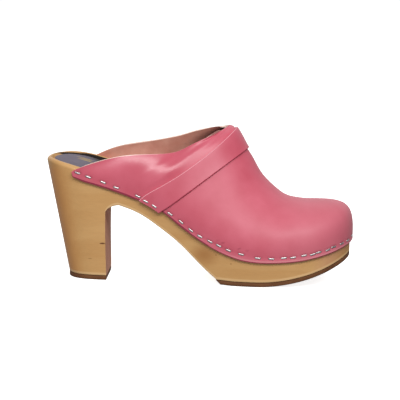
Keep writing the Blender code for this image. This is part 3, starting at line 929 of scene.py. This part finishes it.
def edgeMarks(points, side):
    # depth of the dents under the staples, and the share of the painted shade round them and of a tack hole
    dent = np.zeros(points.shape[:-1])
    holeAndShade = np.zeros(points.shape[:-1])
    for rib, above in stapleRows(side):
        centre, along, out = edgeSpot(rib, above, side)
        away = points - centre
        long = (away @ along) / staple["dentLong"]
        wide = (away @ np.cross(out, along)) / staple["dentWide"]
        deep = (away @ out) / staple["dentLong"]
        dent += staple["dent"] * np.exp(-long**4 - wide**2 - deep**4)
        dark, reach = staple["outline"]
        beyond = away - np.clip(away @ along, -staple["crown"] / 2, staple["crown"] / 2)[..., None] * along
        # painted shade round each staple
        holeAndShade += dark * np.exp(-(beyond**2).sum(axis=-1) / reach**2)
    for x, z in tackHoles["rows"] if side == lateral else ():
        apart = np.hypot(points[..., 0] - x, points[..., 2] - z) / tackHoles["size"]
        holeAndShade += tackHoles["dark"] * np.exp(-apart**2)
    return dent, np.clip(holeAndShade, 0, 1)


def leatherPoint(u, v, side):
    points = upperPoint(u, v, side)
    return points + upperNormal(u, v, side) * relief(points, side, u)[..., None]


# Smooth cowhide, dyed through and finished with a thin polish: an even pink with a soft
# gloss, brightest on the collar panel and duller where the vamp was stretched on the last;
# a faint pebble too fine to see at this size (drawn coarser), cloudy dye, a paler pressed
# strip along the stapled edge, a few old tack holes, and painted shade round the staples,
# along the wood and at the strap's front edge and lower end
def polishedCowhide():
    hide = {
        "deep": "#C35163",
        "light": "#CD6072",
        "stretched": "#CC7480",
        "pressed": "#DD7488",
        "holeAndShade": "#84203A",
        "raw": "#F3DACB",
        "clouds": 22.0,
        "pebble": 1.6,
        "panelRoughness": 0.285,
        "vampRoughness": 0.56,
        "toeFrom": (35.0, 95.0),  # mm from the middle of the shoe
        "toeShare": 0.4,
    }
    material, tree, shader, place = newMaterial("polished pink cowhide")
    body = clouded(tree, place, hide["clouds"], 3.0, (0.3, hide["deep"]), (0.7, hide["light"]))[1]
    along = addNode(tree, "ShaderNodeSeparateXYZ", {0: place}).outputs["X"]
    vamp, toe = hide["toeFrom"]
    body = stain(tree, body, along, vamp * mm, toe * mm, hide["stretched"], hide["toeShare"], "SMOOTHSTEP")
    tone = addNode(tree, "ShaderNodeAttribute", {"attribute_name": "tone"}).outputs["Fac"]
    for name, start, full, most in (
        ("pressed", 0.0, 1.0, 0.6),
        # tack holes, and painted shade round the staples, along the wood and at the strap's edges
        ("holeAndShade", 0.0, -1.0, 0.9),
        ("raw", 0.6, 2.0, 0.9),
    ):
        body = stain(tree, body, tone, start, full, hide[name], most)
    dull = addNode(tree, "ShaderNodeAttribute", {"attribute_name": "dull"}).outputs["Fac"]
    gloss = addNode(tree, "ShaderNodeMapRange", {
        "Value": dull, "To Min": hide["panelRoughness"], "To Max": hide["vampRoughness"]})
    pebble = addNode(tree, "ShaderNodeTexVoronoi", {"Vector": place, "Scale": perMetre(hide["pebble"])})
    bump = addNode(tree, "ShaderNodeBump", {
        "Height": pebble.outputs["Distance"], "Strength": 0.06, "Distance": 0.0002})
    fill(tree, shader, {
        "Base Color": body, "Roughness": gloss.outputs["Result"], "Normal": bump.outputs["Normal"],
        "IOR": 1.5, "Coat Weight": 0.1, "Coat Roughness": 0.3})
    return material


# Flesh side of the same hide, left as split: a dull fibrous tan-pink nap, with painted shade towards the
# throat
def fleshSide():
    flesh = {
        "pale": "#DFA28D",
        "dark": "#CC8673",
        "throat": "#6E2620",
        "raw": "#F3DACB",
        "fibre": 1.4,
        "clouds": 12.0,
        "throatFrom": (-20.0, 22.0),  # mm from the middle of the shoe
    }
    material, tree, shader, place = newMaterial("flesh side of cowhide")
    body = clouded(tree, place, flesh["clouds"], 3.0, (0.3, flesh["dark"]), (0.7, flesh["pale"]))[1]
    along = addNode(tree, "ShaderNodeSeparateXYZ", {0: place}).outputs["X"]
    # painted shade: darker towards the throat
    rear, deep = flesh["throatFrom"]
    body = stain(tree, body, along, rear * mm, deep * mm, flesh["throat"], shape="SMOOTHSTEP")
    tone = addNode(tree, "ShaderNodeAttribute", {"attribute_name": "tone"}).outputs["Fac"]
    body = stain(tree, body, tone, 0.6, 2.0, flesh["raw"], 0.9)
    nap = addNode(tree, "ShaderNodeTexNoise", {
        "Vector": place, "Scale": perMetre(flesh["fibre"]), "Detail": 4.0}).outputs["Fac"]
    bump = addNode(tree, "ShaderNodeBump", {"Height": nap, "Strength": 0.3, "Distance": 0.0003})
    fill(tree, shader, {
        "Base Color": body, "Roughness": 0.85, "Normal": bump.outputs["Normal"], "Sheen Weight": 0.15})
    return material


# Knife-cut edge of the hide: raw pale fibres on the collar; painted shade darkens it at the
# throat's outer side and along the wood; on the strap the edge is dyed with the face, with
# painted shade, deep red, where it presses on the vamp
def cutEdge(name, pale, pink, dark, throat):
    cut = {
        "fibre": 1.2,
        "darkTone": -0.5,
        "throatFrom": (0.0, 10.0),  # mm from the middle of the shoe
        "throatSide": (-3.0, -9.0),
    }
    material, tree, shader, place = newMaterial(name)
    fibres, body = clouded(tree, place, cut["fibre"], 3.0, (0.35, pink), (0.65, pale))
    apart = addNode(tree, "ShaderNodeSeparateXYZ", {0: place})
    # painted shade at the throat's outer side
    middle, side = cut["throatSide"]
    near = addNode(tree, "ShaderNodeMapRange", {
        "Value": apart.outputs["Y"], "From Min": middle * mm, "From Max": side * mm,
        "To Min": 0.0, "To Max": 0.9})
    rear, deep = cut["throatFrom"]
    throatShade = near.outputs["Result"]
    body = stain(tree, body, apart.outputs["X"], rear * mm, deep * mm, throat, throatShade, "SMOOTHSTEP")
    tone = addNode(tree, "ShaderNodeAttribute", {"attribute_name": "tone"}).outputs["Fac"]
    # painted shade along the wood, and on the strap along its front edge and lower end
    body = stain(tree, body, tone, 0.0, cut["darkTone"], dark, 0.95)
    bump = addNode(tree, "ShaderNodeBump", {"Height": fibres, "Strength": 0.3, "Distance": 0.0002})
    fill(tree, shader, {"Base Color": body, "Roughness": 0.8, "Normal": bump.outputs["Normal"]})
    return material


hideMaterials = [polishedCowhide(), fleshSide()]


def roundTip(u, v, side):
    # cuts the heel tip's corners to an arc: the first ribs are shortened at both ends
    top = upperPoint(u, np.ones_like(v), side)
    size = np.linalg.norm(top - upperPoint(u, np.zeros_like(v), side), axis=-1)
    short = np.clip(1 - u / upper["tipRibs"], 0, 1)
    trim = np.minimum(upper["tipRound"] / size, upper["tipMost"]) * (1 - np.sqrt(1 - short**2))
    return trim + v * (1 - 2 * trim)


# Instep strap: a band of lighter hide from one side of the sole to the other; the upper,
# built next, loses its polish from the strap's rear edge on
strap = {
    "leather": 1.5,
    "gap": 0.3,
    "rearRib": 9,
    "frontRib": 10,
    "drop": 0.065,
    "dropPower": 8,
    "rearBow": 0.85,
    "frontGain": 0.27,
    "frontPower": 1.6,
    "acrossSteps": 26,
    "alongSteps": 110,
    "cutRound": 0.5,
    "staples": ((0.28, 0.06), (0.66, 0.06)),  # shares across and up
    "frontDark": 1.0,
    "frontFrom": 0.97,
    "endDark": 0.8,
    "dull": 0.5,
}


def buildUpper():
    places = np.linspace(0, lastRib, upper["ribSteps"] * lastRib + 1)
    grids = []
    tones = []
    dulls = []
    for side in (lateral, medial):
        u, v = np.meshgrid(places, ribPlaces(), indexing="ij")
        v = roundTip(u, v, side)
        points = leatherPoint(u, v, side)
        dent, holeAndShade = edgeMarks(points, side)
        grids.append((points - upperNormal(u, v, side) * dent[..., None], side == medial))
        foot = points[:, 0, 0]
        pressed = np.interp(foot, *upper["pressedAlong"])[:, None]
        tone = ease((upper["pressedTo"] - v) / upper["pressedTo"]) * pressed - holeAndShade
        # painted shade: the rows along the wood darkened
        tone[np.arange(v.shape[1]) < np.interp(foot, *upper["darkRows"])[:, None]] = -upper["edgeDark"]
        rim = points[:, -1, 0]
        raw = 2 * np.interp(rim, *upper["rawAlong"]) * (places <= upper["throat"]) * ease(places)
        tone[:, -1] += raw
        tone[:, -2] += raw * (rim < upper["rawWide"])
        tones.append(tone)
        begin, over = upper["dullRibs"]
        vamp = ease((u - strap["rearRib"] - begin) / over)
        dulls.append(np.maximum(vamp, np.interp(points[..., 0], *upper["dullAlong"])))
    edgeOf = cutEdge("cut edge of cowhide", "#F8E4D4", "#F0C8BC", "#96303A", "#7E3A38")
    shell = sheetObject(
        "upperLeather", grids, hideMaterials + [edgeOf], smoothAngle=180, tone=tones, dull=dulls)
    leatherWall(shell, upper["leather"], -1, upper["cutRound"])
    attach(shell, "root")
    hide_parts("upper")
    print("upper:", len(shell.data.polygons), "faces before its wall")


buildUpper()


def strapPoint(across, up, side, lift):
    # across the strap from its rear edge, up from its lower end to the crest
    rear = strap["rearRib"] - strap["rearBow"] * up * (1 - up) ** 2
    front = strap["frontRib"] + strap["frontGain"] * up ** strap["frontPower"]
    u = rear + across * (front - rear)
    v = up - strap["drop"] * across * (1 - up) ** strap["dropPower"]
    return leatherPoint(u, v, side) + upperNormal(u, v, side) * lift


def buildStrap():
    across = np.linspace(0, 1, strap["acrossSteps"])
    across, up = np.meshgrid(across, np.linspace(0, 1, strap["alongSteps"]), indexing="ij")
    grids = [(strapPoint(across, up, side, strap["gap"]), side == medial) for side in (lateral, medial)]
    edgeOf = cutEdge("dyed edge of cowhide", "#F0B4BC", "#E39AA6", "#B42848", "#E39AA6")
    # painted shade along the strap's front edge and at its lower end
    frontShade = strap["frontDark"] * (across > strap["frontFrom"])
    tones = [-np.maximum(frontShade, strap["endDark"] * (up == 0))] * 2
    dull = [np.full(across.shape, strap["dull"])] * 2
    band = sheetObject("instepStrap", grids, hideMaterials + [edgeOf], smoothAngle=180, tone=tones, dull=dull)
    leatherWall(band, strap["leather"], 1, strap["cutRound"])
    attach(band, "root")
    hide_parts("instep_strap")
    print("strap:", len(band.data.polygons), "faces before its wall")


buildStrap()

# Heel sock: a thin padded cover glued into the milled seat
sock = {
    "frontX": 84.0,
    "inset": 6.3,
    "lift": 0.4,
    "thick": 1.5,
    "edgeRound": 1.6,
    "backing": 0.3,
    "loops": 70,
    "steps": 40,
}


# Microfibre cover, brushed: grey-lavender, dull, with a short nap; shaded under the far
# wall of the seat, and three plain foil lines stamped on it
def brushedMicrofibre():
    cover = {
        "lavender": "#665C6C",
        "shade": "#584E5F",
        "clouds": 14.0,
        "nap": 1.1,
        "dark": "#1E191B",
        "foil": "#B99A4E",
        "spots": (  # centre, radii, colour and softness
            ((48.0, 22.0, 86), (22.0, 13.0, 30), "dark", 0.6),
            ((28.4, 12.6, 90), (7.5, 0.8, 30), "foil", 0.2),
            ((29.0, 9.6, 90), (5.5, 0.8, 30), "foil", 0.2),
            ((29.6, 6.6, 90), (7.5, 0.8, 30), "foil", 0.2),
        ),
    }
    material, tree, shader, place = newMaterial("brushed microfibre")
    body = clouded(tree, place, cover["clouds"], 2.0, (0.35, cover["shade"]), (0.7, cover["lavender"]))[1]
    for centre, radii, name, soft in cover["spots"]:
        reach = spotReach(tree, place, centre, radii)
        body = stain(tree, body, reach, 1.0, 1.0 - soft, cover[name], shape="SMOOTHSTEP")
    nap = addNode(tree, "ShaderNodeTexNoise", {
        "Vector": place, "Scale": perMetre(cover["nap"]), "Detail": 3.0}).outputs["Fac"]
    bump = addNode(tree, "ShaderNodeBump", {"Height": nap, "Strength": 0.2, "Distance": 0.0002})
    fill(tree, shader, {
        "Base Color": body, "Roughness": 0.7, "Normal": bump.outputs["Normal"], "Sheen Weight": 0.1})
    return material


def buildSock():
    stations = stationAt(sock["frontX"]) * np.linspace(0, 1, sock["loops"])
    left = edge(stations, lateral) + inward(stations, lateral) * sock["inset"]
    right = edge(stations, medial) + inward(stations, medial) * sock["inset"]
    shares = 0.5 - 0.5 * np.cos(np.linspace(0, math.pi, sock["steps"]))
    rows = []
    for share in shares:
        across = left + share * (right - left)
        inside = np.hypot(across[:, None, 0] - outline[:, 0], across[:, None, 1] - outline[:, 1]).min(axis=1)
        reach = np.clip((inside - sock["inset"]) / sock["edgeRound"], 0, 1)
        crown = np.sqrt(1 - (1 - reach) ** 2)
        across[:, 2] = footbed(across[:, 0], across[:, 1]) + sock["lift"] + sock["thick"] * crown
        rows.append(across)
    pad = sheetObject("heelSock", [(np.stack(rows, axis=1), False)], [brushedMicrofibre()])
    backing = pad.modifiers.new("backing", "SOLIDIFY")
    backing.thickness = sock["backing"] * mm
    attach(pad, "root")
    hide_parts("heel_sock")
    print("heel sock:", len(pad.data.polygons), "faces")


buildSock()


# Galvanised steel wire, drawn and flattened: bright with a soft blur
def drawnSteel():
    wire = {"grey": "#CCCAC9", "scratch": 0.8, "roughness": (0.34, 0.5)}
    material, tree, shader, place = newMaterial("drawn galvanised steel")
    scratch = addNode(tree, "ShaderNodeTexNoise", {
        "Vector": place, "Scale": perMetre(wire["scratch"]), "Detail": 2.0}).outputs["Fac"]
    bright, blurred = wire["roughness"]
    gloss = addNode(tree, "ShaderNodeMapRange", {"Value": scratch, "To Min": bright, "To Max": blurred})
    fill(tree, shader, {
        "Base Color": linear(wire["grey"]), "Roughness": gloss.outputs["Result"], "Metallic": 1.0})
    return material


def staplePath():
    # half the wire's line: along the crown, round the bend and down a leg
    reach = staple["crown"] / 2
    bend = staple["bend"]
    turns = np.linspace(0, math.pi / 2, staple["bendSteps"])
    along = np.concatenate(([0, 0.5 * (reach - bend)], reach - bend + bend * np.sin(turns), [reach]))
    height = np.concatenate(([0, 0], bend * np.cos(turns) - bend, [-bend - staple["legIn"]]))
    return np.concatenate((-along[:0:-1], along)), np.concatenate((height[:0:-1], height)) + staple["proud"]


def stapleGrid(centre, along, out):
    # flat wire swept along its path, in mm
    across = np.cross(out, along)
    reach, height = staplePath()
    line = centre + reach[:, None] * along + height[:, None] * out
    ahead = unit(np.gradient(line, axis=0))
    above = unit(np.cross(ahead, across)) * -1
    turns = np.linspace(0, 2 * math.pi, staple["roundSteps"])
    square = staple["square"]
    wideShape = np.sign(np.cos(turns)) * np.abs(np.cos(turns)) ** square * staple["wide"] / 2
    thickShape = np.sign(np.sin(turns)) * np.abs(np.sin(turns)) ** square * staple["thick"] / 2
    return line[:, None] + wideShape[None, :, None] * across + thickShape[None, :, None] * above[:, None]


def stapleSpots():
    # centre, direction along the edge and outward normal of each staple
    spots = []
    for side in (lateral, medial):
        for rib, above in stapleRows(side):
            spots.append(edgeSpot(rib, above, side))
        lift = strap["gap"] + strap["leather"]
        for across, up in np.array(strap["staples"])[:, :, None]:
            behind = strapPoint(across - stapleRow["aside"], up, side, lift)
            along = strapPoint(across + stapleRow["aside"], up, side, lift) - behind
            out = unit(strapPoint(across, up, side, lift + 1) - strapPoint(across, up, side, lift))[0]
            spots.append((strapPoint(across, up, side, lift)[0], unit(along)[0], out))
    return spots


def buildStaples():
    draw = np.random.default_rng(staple["seed"])
    grids = []
    for number, (centre, along, out) in enumerate(stapleSpots()):
        tilt = draw.uniform(-1, 1) * staple["tiltSpread"]
        tilt = math.radians(stapleRow["tilts"].get(number, tilt))
        along = unit(along - out * (along @ out))
        along = along * math.cos(tilt) + np.cross(out, along) * math.sin(tilt)
        grids.append((stapleGrid(centre, along, out), False))
    wires = sheetObject("staples", grids, [drawnSteel()], smoothAngle=60, capEnds=True)
    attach(wires, "root")
    print("staples:", len(grids))


buildStaples()

# Camera fitted to the picture: mm, degrees, and the focal length in pixels of a 400 px frame
view = {
    "distance": 1150.0,
    "focalPixels": 1437.4,
    "framePixels": 400,
    "pitch": 7.63,
    "yaw": 1.27,
    "roll": 1.03,
    "target": (122.1, 0.0, 61.9),
    "sensor": 36.0,
    "nearest": 10.0,
}


def buildCamera():
    pitch, yaw, roll = np.radians((view["pitch"], view["yaw"], view["roll"]))
    ahead = np.array((-math.sin(yaw) * math.cos(pitch), math.cos(yaw) * math.cos(pitch), -math.sin(pitch)))
    level = np.array((math.cos(yaw), math.sin(yaw), 0))
    above = np.cross(level, ahead)
    right = level * math.cos(roll) + above * math.sin(roll)
    up = -level * math.sin(roll) + above * math.cos(roll)
    eye = np.array(view["target"]) - ahead * view["distance"] - (last["originX"], last["originY"], 0)
    turned = Matrix.Identity(4)
    for i, axis in enumerate((right, up, -ahead, eye * mm)):
        for j in range(3):
            turned[j][i] = axis[j]
    data = bpy.data.cameras.new("camera")
    data.sensor_width = view["sensor"]
    data.lens = view["focalPixels"] / view["framePixels"] * view["sensor"]
    data.clip_start = view["nearest"] * mm
    camera = bpy.data.objects.new("camera", data)
    camera.matrix_world = turned
    bpy.context.scene.collection.objects.link(camera)
    bpy.context.scene.camera = camera


buildCamera()

# Studio: a white light table in a pale room and one large softbox in front, above the
# camera; metres, watts, and the room's strengths with the directions where each starts and is full
studio = {
    "tableGlow": 0.84,
    "tableSize": 60.0,
    "tableDrop": 0.0002,
    "roomAbove": 0.52,
    "roomBehind": 0.92,
    "behindFrom": (0.0, 0.7),
    "roomBelow": 0.4,
    "aboveFrom": (-0.2, 0.1),
    "flags": {1: 0.34, -1: 0.58},  # share of the light left at the toe's and the heel's end
    "flagFrom": (0.4, 0.9),
    "backdrop": 1.05,
    "backdropFrom": (0.95, 0.985),
    "key": {"at": (0.2, -1.34, 1.08), "aim": (0.0, 0.0, 0.06), "size": (1.6, 0.6), "watts": 24.4},
}


# Opal acrylic table lit from below: matte white, hardly any shadow
def opalAcrylic():
    opal = {"cool": "#F4F4F3", "white": "#F8F8F7", "mottle": 300.0}
    material, tree, shader, place = newMaterial("opal acrylic table")
    body = clouded(tree, place, opal["mottle"], 2.0, (0.0, opal["cool"]), (1.0, opal["white"]))[1]
    fill(tree, shader, {
        "Base Color": body, "Roughness": 0.9, "Specular IOR Level": 0.0,
        "Emission Color": (1, 1, 1, 1), "Emission Strength": studio["tableGlow"]})
    return material


def buildTable():
    half = studio["tableSize"] / 2
    mesh = bpy.data.meshes.new("lightTable")
    corners = [(-half, -half, 0), (half, -half, 0), (half, half, 0), (-half, half, 0)]
    mesh.from_pydata(corners, [], [(0, 1, 2, 3)])
    mesh.materials.append(opalAcrylic())
    table = bpy.data.objects.new("lightTable", mesh)
    table.location.z = -studio["tableDrop"]
    table.visible_diffuse = False  # the room's own light from below is softer than the table's
    table.visible_glossy = False
    bpy.context.scene.collection.objects.link(table)


def buildLight():
    world = bpy.data.worlds.new("studio")
    world.use_nodes = True
    tree = world.node_tree
    tree.nodes.clear()
    direction = addNode(tree, "ShaderNodeTexCoord").outputs["Generated"]
    toward = addNode(tree, "ShaderNodeSeparateXYZ", {0: direction})
    start, full = studio["behindFrom"]
    above = addNode(tree, "ShaderNodeMapRange", {
        "interpolation_type": "SMOOTHSTEP", "Value": toward.outputs["Y"], "From Min": start, "From Max": full,
        "To Min": studio["roomAbove"], "To Max": studio["roomBehind"]})
    start, full = studio["aboveFrom"]
    strength = addNode(tree, "ShaderNodeMapRange", {
        "interpolation_type": "SMOOTHSTEP", "Value": toward.outputs["Z"], "From Min": start, "From Max": full,
        "To Min": studio["roomBelow"], "To Max": above.outputs["Result"]})
    room = strength.outputs["Result"]
    start, full = studio["flagFrom"]
    for end, left in studio["flags"].items():
        flagged = addNode(tree, "ShaderNodeMath", {"operation": "MULTIPLY", 0: room, 1: left})
        room = addNode(tree, "ShaderNodeMapRange", {
            "interpolation_type": "SMOOTHSTEP", "Value": toward.outputs["X"],
            "From Min": end * start, "From Max": end * full,
            "To Min": room, "To Max": flagged.outputs["Value"]}).outputs["Result"]
    start, full = studio["backdropFrom"]
    backdrop = addNode(tree, "ShaderNodeMapRange", {
        "interpolation_type": "SMOOTHSTEP", "Value": toward.outputs["Y"], "From Min": start, "From Max": full,
        "To Min": 0.0, "To Max": studio["backdrop"]})
    light = addNode(tree, "ShaderNodeMath", {
        "operation": "MAXIMUM", 0: room, 1: backdrop.outputs["Result"]})
    sky = addNode(tree, "ShaderNodeBackground", {"Color": (1, 1, 1, 1), "Strength": light.outputs["Value"]})
    addNode(tree, "ShaderNodeOutputWorld", {"Surface": sky.outputs["Background"]})
    bpy.context.scene.world = world
    key = studio["key"]
    lamp = bpy.data.lights.new("softbox", "AREA")
    lamp.shape = "RECTANGLE"
    lamp.size, lamp.size_y = key["size"]
    lamp.energy = key["watts"]
    softbox = bpy.data.objects.new("softbox", lamp)
    softbox.location = key["at"]
    softbox.rotation_euler = (Vector(key["aim"]) - Vector(key["at"])).to_track_quat("-Z", "Y").to_euler()
    softbox.visible_camera = False
    bpy.context.scene.collection.objects.link(softbox)
    bpy.context.scene.view_settings.view_transform = "Standard"


buildTable()
buildLight()
print("studio: light table, room and softbox")
